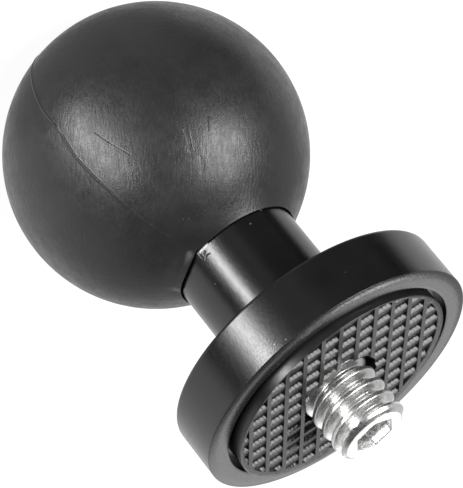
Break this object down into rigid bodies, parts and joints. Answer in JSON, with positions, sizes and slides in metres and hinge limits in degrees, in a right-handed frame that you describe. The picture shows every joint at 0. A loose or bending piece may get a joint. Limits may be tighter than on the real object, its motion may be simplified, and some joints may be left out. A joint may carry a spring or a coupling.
{
  "type": "ball head adapter",
  "caption": "Rubber-covered mounting ball on a black turned neck and round flange, with a pocketed rubber grip pad let into the flange and a threaded stud standing out of its middle.",
  "frame": {"origin": "centre of the rubber ball", "axes": "+Z runs along the post, from the ball to the tip of the threaded stud; +X is the way in which the stud stands a little off the post's axis; +Y makes the frame right-handed"},
  "size_m": [0.0254, 0.0254, 0.0439],
  "materials": {
    "post": "black anodised, satin, fine turning marks",
    "ball_cover": "matte moulded rubber, a little worn and dusty",
    "stud": "bright zinc-plated steel",
    "grip_pad": "dark grey moulded rubber, matte, sharp pockets",
    "pad_adhesive": "double-sided adhesive film"
  },
  "bodies": {
    "root": {"post": "post", "ball_cover": "ball_cover", "stud": "stud", "grip_pad": "grip_pad", "pad_adhesive": "pad_adhesive"}
  },
  "joints": []
}
